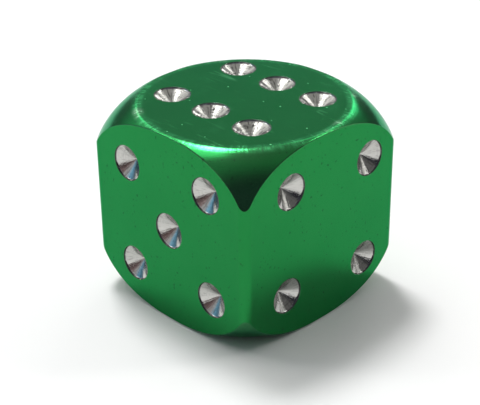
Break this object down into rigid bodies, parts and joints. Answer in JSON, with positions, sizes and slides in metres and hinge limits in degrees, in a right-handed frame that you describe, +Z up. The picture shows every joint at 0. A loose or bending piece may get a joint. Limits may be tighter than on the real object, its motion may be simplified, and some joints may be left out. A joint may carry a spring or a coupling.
{
  "type": "anodised aluminium die",
  "caption": "Six-sided gaming die turned from square aluminium bar, dyed green, with round shoulders and drilled conical pips.",
  "frame": {"origin": "centre of the bottom end, the one's face, which the die rests on", "axes": "+Z up through the middle of both turned ends, from the one to the six; +X out of the four; +Y out of the two"},
  "size_m": [0.016, 0.016, 0.0153],
  "materials": {
    "bare_aluminium": "bright, as drilled",
    "green_anodising": "satin, dyed green"
  },
  "bodies": {
    "root": {"aluminium_core": "bare_aluminium", "anodised_skin": "green_anodising"}
  },
  "joints": []
}
